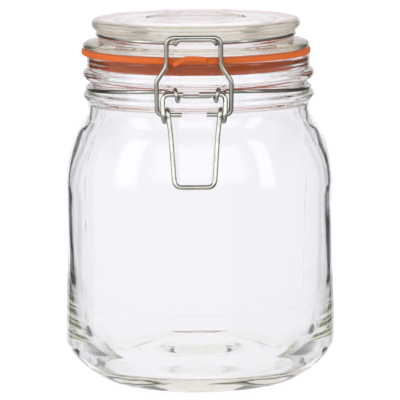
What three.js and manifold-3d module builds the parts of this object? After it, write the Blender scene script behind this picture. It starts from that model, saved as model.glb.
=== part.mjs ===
// Clip-top preserving jar: a round clear-glass jar and lid, a rubber gasket,
// and a wire closure of four pieces: neck wire, lid wire, bail and lever.
// Millimetres, +Z up. The closure is on the -Y side and the lid's hinge on the +Y side.

import * as THREE from 'three';
import { mergeVertices } from 'three/addons/utils/BufferGeometryUtils.js';
import Module from 'manifold-3d';

// Driving dimensions of the glass
const HEIGHT = 153;
const BODY_RADIUS = 57;
const LABEL_RADIUS = 56.2;
const SHOULDER_RADIUS = 56.35;
const NECK_RADIUS = 46.75;
const BEAD_RADIUS = 48.75;
const GROOVE_RADIUS = 45.7;
const WALL = 3.4;
const MOUTH_RADIUS = 41;
const RIM_TOP = 137.9;
const FOOT_INNER_RADIUS = 37;
const FOOT_OUTER_RADIUS = 40.5;
const HEEL_HEIGHT = 16;
const FLOOR_HEIGHT = 8.5;
const PUNT_HEIGHT = 2.6;
const LOWER_BEAD_HEIGHT = 120.9;
const UPPER_BEAD_HEIGHT = 129.5;

// Driving dimensions of the lid and the gasket
const LID_RADIUS = 44.1;
const LID_EDGE_ROUND = 2.4;
const LID_GROOVE_RADIUS = 40.4;
const FLANGE_RADIUS = 47.75;
const FLANGE_BOTTOM = 140.6;
const LID_BOSS_BOTTOM = 135.6;
const SUNK_CIRCLE_RADIUS = 20.8;
const SUNK_CIRCLE_DEPTH = 0.6;
const GASKET_OUTER_RADIUS = 48.35;
const GASKET_INNER_RADIUS = 41;
const GASKET_BOTTOM = 138.15;
const GASKET_TOP = 140.35;

// Driving dimensions of the wires. A reach is a distance out from the jar's axis.
const RING_WIRE = 1.7;
const LID_WIRE = 1.6;
const CLASP_WIRE = 2;
const NECK_RING_RADIUS = 46.95;
const NECK_RING_HEIGHT = 123.7;
const NECK_RING_RISE = 2.9;
const LID_RING_RADIUS = 41.6;
const LID_RING_HEIGHT = 146.4;
const LID_RING_DIP = 0.6;
const PIVOT_REACH = 50;
const PIVOT_HEIGHT = 125.7;
const NECK_COIL_SPACING = 8.25;
const NECK_COIL_RADIUS = 2.5;
const NECK_COIL_PITCH = 2.1;
const CRANK_REACH = 49.65;
const CRANK_HEIGHT = 117.4;
const CLASP_COIL_RADIUS = 2.7;
const CLASP_COIL_PITCH = 2.15;
const BAR_REACH = 48.6;
const BAR_HEIGHT = 148.75;
const NOSE_REACH = 50.6;
const NOSE_HEIGHT = 148.05;
const CLASP_PLAY = -0.6;
const HANDLE_REACH = 60.5;
const HANDLE_HEIGHT = 89;

// Fineness of the faceted surfaces
const TURN_STEPS = 40;
const CURVE_STEPS = 3;
const BEAD_STEPS = 4;
const WIRE_SIDES = 8;

// The frame's origin is under the middle of the whole, so the jar's axis stands behind it.
const AXIS_Y = (HANDLE_REACH + CLASP_WIRE / 2 - BODY_RADIUS) / 2;

const glass = new THREE.MeshStandardMaterial({ color: 0xdfe8e2, roughness: 0.03, metalness: 0 });
const rubber = new THREE.MeshStandardMaterial({ color: 0xdc6230, roughness: 0.6, metalness: 0 });
const steel = new THREE.MeshStandardMaterial({ color: 0xb9beb6, roughness: 0.25, metalness: 1 });

function turned(profile) {
  const geometry = new THREE.LatheGeometry(profile, TURN_STEPS);
  geometry.rotateX(Math.PI / 2);
  return geometry;
}

// A bead is a half-ellipse bulge, listed from its lower end to its upper end.
function addBead(path, height, halfHeight, rootBelow, rootAbove) {
  for (let i = 0; i <= BEAD_STEPS; i += 1) {
    const angle = -Math.PI / 2 + (Math.PI * i) / BEAD_STEPS;
    const root = angle < 0 ? rootBelow : rootAbove;
    path.lineTo(root + (BEAD_RADIUS - root) * Math.cos(angle), height + halfHeight * Math.sin(angle));
  }
}

function jarProfile() {
  const path = new THREE.Path();
  path.moveTo(0, PUNT_HEIGHT + 1);
  path.lineTo(18, PUNT_HEIGHT + 1);
  path.lineTo(21, PUNT_HEIGHT);
  path.quadraticCurveTo(FOOT_INNER_RADIUS - 3, 1.4, FOOT_INNER_RADIUS, 0);
  path.lineTo(FOOT_OUTER_RADIUS, 0);
  path.bezierCurveTo(FOOT_OUTER_RADIUS + 5.5, 1, BODY_RADIUS, HEEL_HEIGHT - 7, BODY_RADIUS, HEEL_HEIGHT);
  path.lineTo(BODY_RADIUS, 30);
  path.lineTo(LABEL_RADIUS, 42);
  path.lineTo(LABEL_RADIUS, 74);
  path.lineTo(SHOULDER_RADIUS, 84);
  path.bezierCurveTo(SHOULDER_RADIUS, 92.5, 53.4, 102.9, 50.6, 107.2);
  path.bezierCurveTo(48.8, 110, NECK_RADIUS, 112.6, NECK_RADIUS, 117);
  addBead(path, LOWER_BEAD_HEIGHT, 1.6, NECK_RADIUS, GROOVE_RADIUS);
  addBead(path, UPPER_BEAD_HEIGHT, 2.2, GROOVE_RADIUS, NECK_RADIUS);
  path.lineTo(NECK_RADIUS + 0.2, RIM_TOP - 1);
  path.lineTo(NECK_RADIUS - 0.5, RIM_TOP);
  path.lineTo(MOUTH_RADIUS + 1, RIM_TOP);
  path.quadraticCurveTo(MOUTH_RADIUS, RIM_TOP, MOUTH_RADIUS, RIM_TOP - 1.4);
  path.bezierCurveTo(MOUTH_RADIUS + 0.2, RIM_TOP - 4, 43.4, 132, 43.5, 127);
  path.lineTo(43.3, 116);
  path.bezierCurveTo(43.4, 111, 46.6, 107, 48.6, 103.4);
  path.bezierCurveTo(51.2, 98.6, SHOULDER_RADIUS - WALL, 92, SHOULDER_RADIUS - WALL, 84);
  path.lineTo(BODY_RADIUS - WALL, 26);
  path.bezierCurveTo(BODY_RADIUS - WALL, 14, 47, FLOOR_HEIGHT + 0.8, 38, FLOOR_HEIGHT);
  path.lineTo(0, FLOOR_HEIGHT + 0.8);
  return path.getPoints(CURVE_STEPS);
}

function lidProfile() {
  const path = new THREE.Path();
  path.moveTo(0, 144);
  path.lineTo(31, 143.4);
  path.quadraticCurveTo(34, 143, 34.6, 139);
  path.quadraticCurveTo(34.8, LID_BOSS_BOTTOM, 36.4, LID_BOSS_BOTTOM);
  path.quadraticCurveTo(38.4, LID_BOSS_BOTTOM, 39.6, 137.6);
  path.lineTo(40.4, FLANGE_BOTTOM);
  path.lineTo(FLANGE_RADIUS - 0.7, FLANGE_BOTTOM);
  path.quadraticCurveTo(FLANGE_RADIUS, FLANGE_BOTTOM, FLANGE_RADIUS, FLANGE_BOTTOM + 0.9);
  path.quadraticCurveTo(FLANGE_RADIUS, 143, 46, 143.4);
  path.lineTo(LID_GROOVE_RADIUS + 1.4, 144.5);
  path.lineTo(LID_GROOVE_RADIUS, 144.9);
  path.lineTo(LID_GROOVE_RADIUS, 147.5);
  path.lineTo(LID_GROOVE_RADIUS + 1.5, 147.8);
  path.absarc(LID_RADIUS - LID_EDGE_ROUND, HEIGHT - LID_EDGE_ROUND, LID_EDGE_ROUND, -0.8, Math.PI / 2, false);
  path.lineTo(SUNK_CIRCLE_RADIUS + 0.6, HEIGHT);
  path.lineTo(SUNK_CIRCLE_RADIUS - 0.6, HEIGHT - SUNK_CIRCLE_DEPTH);
  path.lineTo(0, HEIGHT - SUNK_CIRCLE_DEPTH);
  return path.getPoints(CURVE_STEPS);
}

function gasketProfile() {
  const middle = (GASKET_BOTTOM + GASKET_TOP) / 2;
  return [
    new THREE.Vector2(GASKET_INNER_RADIUS, GASKET_BOTTOM),
    new THREE.Vector2(GASKET_OUTER_RADIUS - 0.4, GASKET_BOTTOM),
    new THREE.Vector2(GASKET_OUTER_RADIUS, middle),
    new THREE.Vector2(GASKET_OUTER_RADIUS - 0.4, GASKET_TOP),
    new THREE.Vector2(GASKET_INNER_RADIUS, GASKET_TOP),
    new THREE.Vector2(GASKET_INNER_RADIUS, GASKET_BOTTOM),
  ];
}

// The pull tab is a soft tongue. Its free edge droops at the left and lifts at the right.
const TAB_LEFT = -9;
const TAB_RIGHT = 5.5;
const TAB_REACH = 53.2;
const TAB_THICKNESS = 1.8;
const TAB_ROWS = 5;
const TAB_COLUMNS = 10;

function tabPoint(across, out, top) {
  const x = THREE.MathUtils.lerp(TAB_LEFT, TAB_RIGHT, across);
  const rounding = 2.2 * Math.abs(2 * across - 1) ** 3;
  const start = Math.sqrt((GASKET_OUTER_RADIUS - 1.4) ** 2 - x * x);
  const reach = THREE.MathUtils.lerp(start, TAB_REACH - rounding, out);
  const beyond = Math.max(0, reach - GASKET_OUTER_RADIUS + 0.4) / (TAB_REACH - GASKET_OUTER_RADIUS);
  const lift = THREE.MathUtils.lerp(-2.8, 1.7, THREE.MathUtils.smoothstep(across, 0, 0.5));
  const middle = (GASKET_BOTTOM + GASKET_TOP) / 2 + lift * beyond ** 1.5;
  return new THREE.Vector3(x, -reach, middle + (top ? 0.5 : -0.5) * TAB_THICKNESS);
}

function tabGeometry() {
  const positions = [];
  const corner = (i, j, top) => tabPoint(i / TAB_COLUMNS, j / TAB_ROWS, top).toArray();
  const quad = (a, b, c, d) => positions.push(...a, ...b, ...c, ...a, ...c, ...d);
  for (let i = 0; i < TAB_COLUMNS; i += 1) {
    for (let j = 0; j < TAB_ROWS; j += 1) {
      quad(corner(i, j, true), corner(i, j + 1, true), corner(i + 1, j + 1, true), corner(i + 1, j, true));
      quad(corner(i, j, false), corner(i + 1, j, false), corner(i + 1, j + 1, false), corner(i, j + 1, false));
    }
    quad(corner(i, 0, false), corner(i, 0, true), corner(i + 1, 0, true), corner(i + 1, 0, false));
    quad(
      corner(i, TAB_ROWS, true),
      corner(i, TAB_ROWS, false),
      corner(i + 1, TAB_ROWS, false),
      corner(i + 1, TAB_ROWS, true),
    );
  }
  for (let j = 0; j < TAB_ROWS; j += 1) {
    quad(corner(0, j, true), corner(0, j, false), corner(0, j + 1, false), corner(0, j + 1, true));
    quad(
      corner(TAB_COLUMNS, j, false),
      corner(TAB_COLUMNS, j, true),
      corner(TAB_COLUMNS, j + 1, true),
      corner(TAB_COLUMNS, j + 1, false),
    );
  }
  const geometry = new THREE.BufferGeometry();
  geometry.setAttribute('position', new THREE.Float32BufferAttribute(positions, 3));
  return geometry;
}

const wasm = await Module();
wasm.setup();

function toManifold(geometry) {
  const bare = new THREE.BufferGeometry();
  bare.setAttribute('position', geometry.getAttribute('position'));
  bare.setIndex(geometry.getIndex());
  const merged = mergeVertices(bare, 1e-4);
  const triVerts = [];
  const index = merged.getIndex().array;
  for (let i = 0; i < index.length; i += 3) {
    const [a, b, c] = [index[i], index[i + 1], index[i + 2]];
    if (a !== b && b !== c && c !== a) triVerts.push(a, b, c);
  }
  return new wasm.Manifold(new wasm.Mesh({
    numProp: 3,
    vertProperties: new Float32Array(merged.getAttribute('position').array),
    triVerts: new Uint32Array(triVerts),
  }));
}

function fromManifold(solid) {
  const mesh = solid.getMesh();
  const geometry = new THREE.BufferGeometry();
  geometry.setAttribute('position', new THREE.Float32BufferAttribute(mesh.vertProperties, 3));
  geometry.setIndex([...mesh.triVerts]);
  geometry.computeVertexNormals();
  return geometry;
}

// A wire's route visits its stations in order, one for each step of the extrusion.
class Route extends THREE.Curve {
  constructor(stations) {
    super();
    this.stations = stations;
  }

  getPoint(t, target = new THREE.Vector3()) {
    const place = t * (this.stations.length - 1);
    const before = Math.min(Math.floor(place), this.stations.length - 2);
    return target.lerpVectors(this.stations[before], this.stations[before + 1], place - before);
  }

  getPointAt(u, target) {
    return this.getPoint(u, target);
  }

  getTangentAt(u, target = new THREE.Vector3()) {
    const last = this.stations.length - 1;
    const here = Math.round(u * last);
    const before = this.stations[Math.max(here - 1, 0)];
    const after = this.stations[Math.min(here + 1, last)];
    return target.subVectors(after, before).normalize();
  }
}

function wireGeometry(stations, diameter) {
  const section = new THREE.Shape();
  for (let i = 0; i < WIRE_SIDES; i += 1) {
    const angle = (2 * Math.PI * i) / WIRE_SIDES;
    const place = [(diameter / 2) * Math.cos(angle), (diameter / 2) * Math.sin(angle)];
    if (i === 0) section.moveTo(...place);
    else section.lineTo(...place);
  }
  section.closePath();
  return new THREE.ExtrudeGeometry(section, {
    steps: stations.length - 1,
    bevelEnabled: false,
    extrudePath: new Route(stations),
  });
}

// Corners are given as [x, y, z, bend radius]. Each is replaced by an arc.
function bent(corners, arcSteps = 4) {
  const stations = [];
  corners.forEach(([x, y, z, radius], i) => {
    const here = new THREE.Vector3(x, y, z);
    if (!radius) {
      stations.push(here);
      return;
    }
    const back = new THREE.Vector3(...corners[i - 1].slice(0, 3)).sub(here).normalize();
    const on = new THREE.Vector3(...corners[i + 1].slice(0, 3)).sub(here).normalize();
    const half = back.angleTo(on) / 2;
    const setback = radius / Math.tan(half);
    const centre = back.clone().add(on).normalize().multiplyScalar(radius / Math.sin(half)).add(here);
    const from = back.clone().multiplyScalar(setback).add(here).sub(centre);
    const to = on.clone().multiplyScalar(setback).add(here).sub(centre);
    const sweep = from.angleTo(to);
    for (let k = 0; k <= arcSteps; k += 1) {
      const t = k / arcSteps;
      const point = from.clone().multiplyScalar(Math.sin((1 - t) * sweep) / Math.sin(sweep));
      point.addScaledVector(to, Math.sin(t * sweep) / Math.sin(sweep));
      stations.push(point.add(centre));
    }
  });
  return stations;
}

function mirrored(stations) {
  return stations.map((p) => new THREE.Vector3(-p.x, p.y, p.z)).reverse();
}

// A point of the neck's ring. It runs low at the sides and rises to the coils, front and back.
function neckRingPoint(degrees) {
  const angle = THREE.MathUtils.degToRad(degrees);
  const height = NECK_RING_HEIGHT + NECK_RING_RISE * Math.cos(angle) ** 2;
  return new THREE.Vector3(NECK_RING_RADIUS * Math.sin(angle), -NECK_RING_RADIUS * Math.cos(angle), height);
}

// One turn about a pivot, from its back over the top and round, drifting towards the middle.
function neckCoil(side) {
  const stations = [];
  const turns = 12;
  for (let k = 0; k <= turns; k += 1) {
    const angle = Math.PI - (2 * Math.PI * k) / turns;
    stations.push(new THREE.Vector3(
      NECK_COIL_SPACING + NECK_COIL_PITCH * (0.5 - k / turns),
      -side * (PIVOT_REACH + NECK_COIL_RADIUS * Math.cos(angle)),
      PIVOT_HEIGHT - 0.3 + NECK_COIL_RADIUS * Math.sin(angle),
    ));
  }
  return stations;
}

function neckWireStations() {
  const front = 1;
  const rear = -1;
  const lead = (side) => [
    new THREE.Vector3(NECK_COIL_SPACING + 3.4, side * -46.2, 126.3),
    new THREE.Vector3(NECK_COIL_SPACING + 1.9, side * -47.1, 125.9),
  ];
  const half = [
    new THREE.Vector3(0, -48.0, 124.75),
    new THREE.Vector3(5.2, -48.0, 124.75),
    ...neckCoil(front).reverse(),
    ...lead(front).reverse(),
  ];
  for (let degrees = 18; degrees <= 162; degrees += 6) half.push(neckRingPoint(degrees));
  half.push(...lead(rear), ...neckCoil(rear));
  half.push(new THREE.Vector3(5.6, 47.7, 124.8));
  return [...mirrored(half), ...half.slice(1)];
}

function lidWireStations() {
  const legX = 13;
  const ringY = (x) => Math.sqrt(LID_RING_RADIUS ** 2 - x * x);
  const rear = bent([
    [4.6, PIVOT_REACH, PIVOT_HEIGHT],
    [legX, PIVOT_REACH, PIVOT_HEIGHT, 2],
    [legX - 0.6, PIVOT_REACH, LID_RING_HEIGHT, 2.2],
    [legX - 0.9, ringY(legX) + 1.6, LID_RING_HEIGHT, 1.5],
    [legX + 4, ringY(legX + 4), LID_RING_HEIGHT],
  ]);
  const ring = [];
  for (let degrees = 150; degrees >= 18; degrees -= 6) {
    const angle = THREE.MathUtils.degToRad(degrees);
    const dip = LID_RING_DIP * Math.max(0, Math.cos(angle)) ** 2;
    ring.push(new THREE.Vector3(
      LID_RING_RADIUS * Math.sin(angle),
      -LID_RING_RADIUS * Math.cos(angle),
      LID_RING_HEIGHT - dip,
    ));
  }
  const front = bent([
    [12.9, -ringY(12.9), LID_RING_HEIGHT - LID_RING_DIP],
    [8.5, -ringY(8.5) - 0.6, LID_RING_HEIGHT - LID_RING_DIP, 1.4],
    [8.2, -NOSE_REACH, 146.15, 1],
    [7.4, -NOSE_REACH, NOSE_HEIGHT, 0.9],
    [0, -NOSE_REACH, NOSE_HEIGHT],
  ]);
  const half = [...rear.slice(0, -1), ...ring, ...front.slice(1)];
  return [...half, ...mirrored(half).slice(1)];
}

function bailStations() {
  const reach = (z) => THREE.MathUtils.mapLinear(z, CRANK_HEIGHT, BAR_HEIGHT, CRANK_REACH, BAR_REACH);
  const corner = (x, z, radius) => [x, -reach(z), z, radius];
  const half = bent([
    corner(5.1, CRANK_HEIGHT),
    corner(15, CRANK_HEIGHT, 1.9),
    corner(15.3, 131, 3.5),
    corner(11.05, 137.2, 3.5),
    corner(11.05, BAR_HEIGHT, 2.7),
    corner(0, BAR_HEIGHT),
  ]);
  return [...half, ...mirrored(half).slice(1)];
}

function leverStations(innerEnd) {
  const stations = bent([
    [innerEnd, -PIVOT_REACH, PIVOT_HEIGHT],
    [12.9, -PIVOT_REACH, PIVOT_HEIGHT, 2.1],
    [12.6, -CRANK_REACH - CLASP_COIL_RADIUS, CRANK_HEIGHT + 1],
  ]).slice(0, -1);
  const turns = 12;
  for (let k = 0; k <= turns; k += 1) {
    const angle = 0.25 - ((2 * Math.PI + 0.1) * k) / turns;
    stations.push(new THREE.Vector3(
      12.6 - (CLASP_COIL_PITCH * k) / turns,
      -CRANK_REACH - CLASP_COIL_RADIUS * Math.cos(angle),
      CRANK_HEIGHT - 0.3 + CLASP_COIL_RADIUS * Math.sin(angle),
    ));
  }
  const handle = bent([
    [10.3, -52.3, 116],
    [9.5, -54.6, 109.3, 12],
    [8.05, -HANDLE_REACH, HANDLE_HEIGHT, 2.6],
    [0, -HANDLE_REACH, HANDLE_HEIGHT],
  ]);
  return [...stations, ...handle];
}

function shifted(stations, dx) {
  return stations.map((p) => new THREE.Vector3(p.x + dx, p.y, p.z));
}

const assembly = new THREE.Group();
assembly.position.y = AXIS_Y;

function addPart(name, geometry, material) {
  const mesh = new THREE.Mesh(geometry, material);
  mesh.name = name;
  assembly.add(mesh);
}

const gasketSolid = toManifold(turned(gasketProfile())).add(toManifold(tabGeometry()));
const rightLever = leverStations(2);
const leftLever = mirrored(leverStations(4.4));

addPart('jar_body', turned(jarProfile()), glass);
addPart('lid_glass', turned(lidProfile()), glass);
addPart('gasket', fromManifold(gasketSolid), rubber);
addPart('neck_wire', wireGeometry(neckWireStations(), RING_WIRE), steel);
addPart('lid_wire', wireGeometry(lidWireStations(), LID_WIRE), steel);
addPart('bail', wireGeometry(shifted(bailStations(), CLASP_PLAY), CLASP_WIRE), steel);
addPart('lever', wireGeometry(shifted([...rightLever, ...leftLever.slice(1)], CLASP_PLAY), CLASP_WIRE), steel);

export default assembly;
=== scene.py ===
"""Looks of a clip-top preserving jar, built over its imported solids.

The jar and its lid are pressed clear glass, the gasket is moulded rubber, and the closure is
four pieces of bent steel wire: neck wire, lid wire, bail and lever. Outlines and routes are
in millimetres in the jar's own frame, with its axis at x = 0, y = 0, and MM and placed() turn
them to metres in the part's frame. Lengths in the settings are metres.
"""

import math

import bmesh
import bpy
from bpy.props import FloatProperty, FloatVectorProperty, IntProperty, PointerProperty
from mathutils import Matrix, Vector


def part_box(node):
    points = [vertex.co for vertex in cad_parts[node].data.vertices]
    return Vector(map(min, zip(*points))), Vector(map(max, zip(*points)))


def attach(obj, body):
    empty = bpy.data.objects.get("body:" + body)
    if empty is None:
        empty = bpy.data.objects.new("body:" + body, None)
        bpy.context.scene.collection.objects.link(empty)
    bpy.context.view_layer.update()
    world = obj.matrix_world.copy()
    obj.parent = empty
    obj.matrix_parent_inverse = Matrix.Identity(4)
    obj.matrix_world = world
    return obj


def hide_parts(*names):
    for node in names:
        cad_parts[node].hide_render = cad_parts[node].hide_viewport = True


bl_info = {
    "name": "Clip-top Jar",
    "version": (1, 0, 0),
    "blender": (4, 5, 0),
    "location": "3D View > Sidebar > Jar",
    "description": "Builds a clip-top glass jar with its gasket, wire closure and studio",
    "category": "Object",
}

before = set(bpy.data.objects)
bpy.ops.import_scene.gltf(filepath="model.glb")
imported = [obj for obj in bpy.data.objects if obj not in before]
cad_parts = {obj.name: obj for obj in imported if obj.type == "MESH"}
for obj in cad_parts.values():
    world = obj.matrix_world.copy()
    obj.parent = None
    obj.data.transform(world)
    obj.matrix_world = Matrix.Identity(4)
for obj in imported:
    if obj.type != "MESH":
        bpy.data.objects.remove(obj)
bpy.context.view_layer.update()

MM = 0.001
JAR_LOW, JAR_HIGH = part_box("jar_body")
LID_LOW, LID_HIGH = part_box("lid_glass")
AXIS = Vector((0.0, (JAR_LOW.y + JAR_HIGH.y) / 2, 0.0))

# Radii and heights of the glass and the gasket, and of the places where the wires pivot
BODY_RADIUS = (JAR_HIGH.x - JAR_LOW.x) / 2 / MM
LABEL_RADIUS = BODY_RADIUS - 0.8
SHOULDER_RADIUS = BODY_RADIUS - 0.65
NECK_RADIUS = 46.75
BEAD_RADIUS = 48.75
GROOVE_RADIUS = 45.7
MOUTH_RADIUS = 41.9
RIM_TOP = JAR_HIGH.z / MM
LID_TOP = LID_HIGH.z / MM
GASKET_BOTTOM = RIM_TOP - 0.05
GASKET_TOP = 140.35
PIVOT_REACH = 50.0
PIVOT_HEIGHT = 125.7
CRANK_REACH = 49.65
CRANK_HEIGHT = 117.4

# How far the lid sits to one side in the mouth, and the neck wire's front coils from the middle
LID_PLAY = -1.0
COIL_PLAY = -0.75

# The photograph's frame is a square of this many pixels.
PHOTO_PIXELS = 400


def placed(x, y, z):
    """A point of the jar's own frame in millimetres, as a point of the part's frame in metres."""
    return Vector((x, y, z)) * MM + AXIS


def linear(hex_colour):
    """An sRGB hex colour as linear red, green, blue and an alpha of one."""
    channels = [int(hex_colour[i:i + 2], 16) / 255 for i in (1, 3, 5)]
    bright = [c / 12.92 if c <= 0.04045 else ((c + 0.055) / 1.055) ** 2.4 for c in channels]
    return (*bright, 1.0)


def plain(colour):
    """A colour property as four plain numbers."""
    return (*colour[:3], 1.0)


def add_node(tree, kind, settings=None, inputs=None):
    """Adds a node with its settings. Inputs are named in a dict, or in order in a list.

    An input is a value, a node whose first output is linked, or a tuple of a node and an output's name.
    """
    node = tree.nodes.new(kind)
    for key, value in (settings or {}).items():
        setattr(node, key, value)
    named = inputs if isinstance(inputs, dict) else dict(enumerate(inputs or []))
    for key, value in named.items():
        if isinstance(value, bpy.types.Node):
            tree.links.new(value.outputs[0], node.inputs[key])
        elif isinstance(value, tuple) and isinstance(value[0], bpy.types.Node):
            tree.links.new(value[0].outputs[value[1]], node.inputs[key])
        else:
            node.inputs[key].default_value = value
    return node


def smooth(low, high, value):
    """Rises softly from nought at low to one at high."""
    t = min(max((value - low) / (high - low), 0.0), 1.0)
    return t * t * (3 - 2 * t)


# Outlines

class Outline:
    """A half-section drawn by moves, each to a distance from the axis and a height."""

    def __init__(self, r, z):
        self.points = [(r, z)]
        self.inner = [0.0]
        self.side = 0.0

    def line(self, r, z, steps=1):
        """A straight move in even steps."""
        r0, z0 = self.points[-1]
        for k in range(1, steps + 1):
            t = k / steps
            self.points.append((r0 + (r - r0) * t, z0 + (z - z0) * t))
            self.inner.append(self.side)

    def curve(self, first, second, end, steps=10):
        """A Bezier curve with two handles, in steps."""
        start = self.points[-1]
        for k in range(1, steps + 1):
            t = k / steps
            weights = ((1 - t) ** 3, 3 * t * (1 - t) ** 2, 3 * t * t * (1 - t), t ** 3)
            corners = (start, first, second, end)
            self.points.append(tuple(sum(w * c[a] for w, c in zip(weights, corners)) for a in (0, 1)))
            self.inner.append(self.side)

    def turn_inside(self):
        """What follows is the inner, unmoulded side of the glass."""
        self.side = 1.0

    def normals(self):
        """The outward direction at each point, for a section drawn up its outer side."""
        found = []
        last = len(self.points) - 1
        for i in range(last + 1):
            r0, z0 = self.points[max(i - 1, 0)]
            r1, z1 = self.points[min(i + 1, last)]
            length = math.hypot(r1 - r0, z1 - z0)
            found.append(((z1 - z0) / length, (r0 - r1) / length))
        found[0], found[-1] = (0.0, -1.0), (0.0, 1.0)
        return found


def jar_outline(glass):
    """The jar's half-section, up its outside from the middle of the base and down its inside."""
    wall = glass.wall / MM
    floor = glass.floor_height / MM
    underside, foot, heel_top = 1.6, 38.6, 16.5
    lip = NECK_RADIUS + 0.2
    throat = 43.6
    body_inside = BODY_RADIUS - wall
    label_inside = LABEL_RADIUS - wall
    shoulder_inside = SHOULDER_RADIUS - wall
    hump_radius, hump_top = 8, 10.8

    section = Outline(0, underside)
    section.line(22, underside, 8)
    section.curve((29, underside), (32, 0), (foot, 0), 20)
    section.curve((foot + 5, 0), (BODY_RADIUS, 10.6), (BODY_RADIUS, heel_top), 44)
    section.line(BODY_RADIUS, 22, 3)
    section.curve((BODY_RADIUS, 38), (LABEL_RADIUS, 42), (LABEL_RADIUS, 58), 22)
    section.curve((LABEL_RADIUS, 70), (SHOULDER_RADIUS, 72), (SHOULDER_RADIUS, 84), 14)
    section.curve((SHOULDER_RADIUS, 92.5), (53.4, 102.9), (50.6, 107.2), 18)
    section.curve((48.8, 110), (NECK_RADIUS, 111.6), (NECK_RADIUS, 116.2), 10)
    section.curve((NECK_RADIUS, 119.2), (BEAD_RADIUS, 118.6), (BEAD_RADIUS, 120.9), 8)
    section.curve((BEAD_RADIUS, 122.9), (GROOVE_RADIUS, 121.9), (GROOVE_RADIUS, 124), 8)
    section.line(GROOVE_RADIUS, 125.6, 2)
    section.curve((GROOVE_RADIUS, 127.8), (BEAD_RADIUS, 126.8), (BEAD_RADIUS, 129.5), 8)
    section.curve((BEAD_RADIUS, 132.3), (lip, 131), (lip, 133.4), 8)
    section.line(lip, RIM_TOP - 1.5, 4)
    section.curve((lip, RIM_TOP - 0.5), (46.5, RIM_TOP), (45.3, RIM_TOP), 8)
    section.line(42.6, RIM_TOP, 4)
    section.curve((42.2, RIM_TOP), (MOUTH_RADIUS, 137.7), (MOUTH_RADIUS, 137.2), 6)
    section.curve((MOUTH_RADIUS, 135.6), (throat, 134), (throat, 131), 10)
    section.turn_inside()
    section.curve((throat, 126), (43.2, 120), (43.3, 116), 12)
    section.curve((43.4, 111), (46, 107.4), (48, 103.4), 12)
    section.curve((50.6, 98.2), (shoulder_inside - 0.5, 92), (shoulder_inside, 82), 14)
    section.curve((label_inside, 74), (label_inside, 56), (label_inside, 50), 12)
    section.curve((label_inside, 41), (body_inside - 1, 34), (body_inside - 1.7, 27), 18)
    section.curve((body_inside - 2.6, 18), (50.4, 13.4), (46.6, floor + 1.1), 54)
    section.curve((45.6, floor + 0.4), (44.8, floor), (43.4, floor), 10)
    section.line(25, floor, 4)
    section.curve((18, floor), (15, hump_top), (hump_radius, hump_top), 18)
    section.line(0, hump_top, 3)
    return section


def lid_outline():
    """The lid's half-section, out along its underside from the middle and back along its top."""
    plug_bottom = LID_LOW.z / MM
    flange, flange_bottom = 47.75, 140.6
    undercut, disc = 40.4, 44.1
    sunk_radius, sunk_top = 21.25, LID_TOP - 0.6

    section = Outline(0, 144.2)
    section.line(26, 144, 10)
    section.curve((31.5, 143.9), (33.6, 142), (34.2, 139), 10)
    section.curve((34.6, 137), (34.9, plug_bottom), (36.8, plug_bottom), 8)
    section.curve((38.2, plug_bottom), (38.8, 136.4), (39.1, 137.8), 8)
    section.curve((39.4, 139), (39.6, flange_bottom), (40.9, flange_bottom), 6)
    section.line(46.9, flange_bottom, 6)
    section.curve((47.5, flange_bottom), (flange, 140.9), (flange, 141.5), 6)
    section.curve((flange, 142.4), (47.2, 142.9), (46, 143.3), 8)
    section.curve((44.6, 143.8), (43.6, 144), (42.2, 144.5), 8)
    section.curve((41.1, 144.9), (undercut, 145.3), (undercut, 146.2), 8)
    section.curve((undercut, 147.1), (40.7, 147.5), (41.6, 147.7), 8)
    section.curve((43, 148), (disc, 149.1), (disc, 150.5), 10)
    section.curve((disc, 152), (43.2, LID_TOP), (41.6, LID_TOP), 10)
    section.line(sunk_radius + 0.2, LID_TOP, 12)
    section.curve((sunk_radius, LID_TOP), (sunk_radius, sunk_top), (sunk_radius - 0.2, sunk_top), 8)
    section.line(0, sunk_top, 10)
    return section


# Geometry Nodes

def new_geometry_tree(name, sockets):
    """A geometry tree with a geometry in and out, and the named inputs of (name, type, default)."""
    tree = bpy.data.node_groups.new(name, "GeometryNodeTree")
    tree.interface.new_socket("Geometry", in_out="INPUT", socket_type="NodeSocketGeometry")
    tree.interface.new_socket("Geometry", in_out="OUTPUT", socket_type="NodeSocketGeometry")
    for label, kind, default in sockets:
        socket = tree.interface.new_socket(label, in_out="INPUT", socket_type=kind)
        if default is not None:
            socket.default_value = default
    return tree, add_node(tree, "NodeGroupInput")


def finish_geometry_tree(tree, geometry, given):
    """Gives the geometry its material and ends the tree in plain meshes."""
    shaded = add_node(tree, "GeometryNodeSetShadeSmooth", None, {"Geometry": geometry})
    dressed = add_node(tree, "GeometryNodeSetMaterial", None, {
        "Geometry": (shaded, "Geometry"), "Material": (given, "Material"),
    })
    real = add_node(tree, "GeometryNodeRealizeInstances", None, {"Geometry": (dressed, "Geometry")})
    add_node(tree, "NodeGroupOutput", None, {"Geometry": (real, "Geometry")})


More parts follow.
